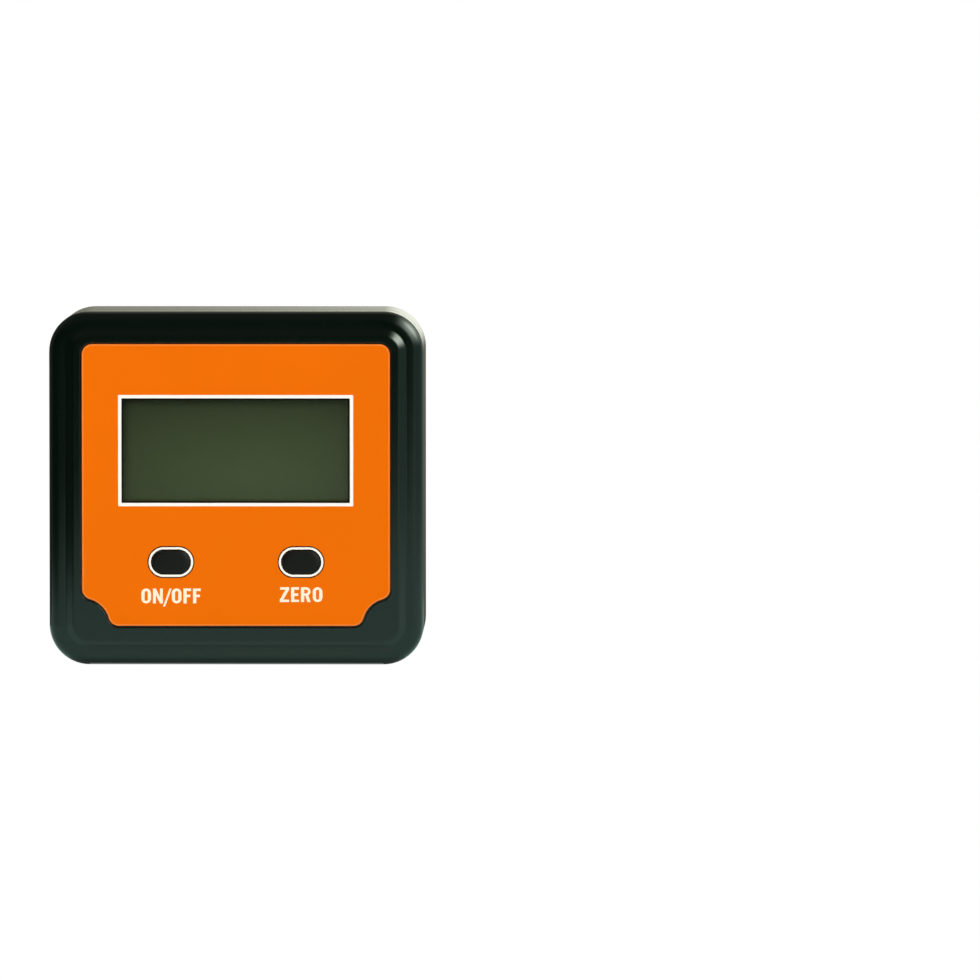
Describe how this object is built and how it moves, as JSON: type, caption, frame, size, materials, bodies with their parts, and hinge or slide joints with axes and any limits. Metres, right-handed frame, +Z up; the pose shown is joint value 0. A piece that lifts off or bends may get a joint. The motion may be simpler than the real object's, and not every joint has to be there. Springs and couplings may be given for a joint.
{
  "type": "digital angle gauge",
  "caption": "Palm-sized digital angle gauge: upright black case with a recessed orange face, a wide display, a power button, a zero button and a magnetic base.",
  "frame": {"origin": "on the base, under the middle of the case", "axes": "+Z up from the base, X across the face, the face looks along -Y and the back along +Y"},
  "size_m": [0.054, 0.025, 0.051],
  "materials": {
    "case_plastic": "moulded black plastic with a fine satin texture",
    "label_film": "printed orange film with a soft sheen",
    "clear_lens": "clear polished acrylic",
    "display_glass": "blank reflective display, dark olive",
    "holder_plastic": "moulded white plastic",
    "strip_rubber": "layered silicone rubber",
    "board_laminate": "glass-epoxy laminate with green resist",
    "resin": "cast black epoxy",
    "chip_plastic": "moulded black epoxy",
    "plated_can": "drawn and plated steel",
    "chip_ceramic": "fired tan ceramic with tinned ends",
    "switch_plastic": "moulded grey plastic",
    "key_plastic": "moulded black plastic, matte",
    "cell_steel": "drawn stainless steel",
    "contact_brass": "stamped spring brass",
    "lead_black": "black insulation",
    "lead_red": "red insulation",
    "magnet_nickel": "sintered magnet, nickel plated",
    "screw_zinc": "rolled steel, zinc plated"
  },
  "bodies": {
    "housing": {"front_housing": "case_plastic", "rear_housing": "case_plastic", "face_label": "label_film", "display_lens": "clear_lens", "lcd_panel": "display_glass", "lcd_holder": "holder_plastic", "connector_strip": "strip_rubber", "main_board": "board_laminate", "processor": "resin", "tilt_sensor": "chip_plastic", "crystal": "plated_can", "capacitors": "chip_ceramic", "power_switch": "switch_plastic", "zero_switch": "switch_plastic", "coin_cell": "cell_steel", "negative_contact": "contact_brass", "positive_contact": "contact_brass", "negative_lead": "lead_black", "positive_lead": "lead_red", "left_magnet": "magnet_nickel", "right_magnet": "magnet_nickel", "case_screws": "screw_zinc", "board_screws": "screw_zinc"},
    "power_key": {"power_button": "key_plastic", "power_plunger": "key_plastic"},
    "zero_key": {"zero_button": "key_plastic", "zero_plunger": "key_plastic"},
    "battery_door": {"battery_cover": "case_plastic"}
  },
  "joints": [
    {"name": "power_press", "type": "slide", "parent": "housing", "child": "power_key", "axis": [0, 1, 0], "range_m": [0, 0.0005], "stiffness_N_per_m": 400, "springref_m": -0.001},
    {"name": "zero_press", "type": "slide", "parent": "housing", "child": "zero_key", "axis": [0, 1, 0], "range_m": [0, 0.0005], "stiffness_N_per_m": 400, "springref_m": -0.001},
    {"name": "cover_turn", "type": "hinge", "parent": "housing", "child": "battery_door", "pos_m": [0, 0.0125, 0.0255], "axis": [0, 1, 0], "range_deg": [0, 45]}
  ]
}
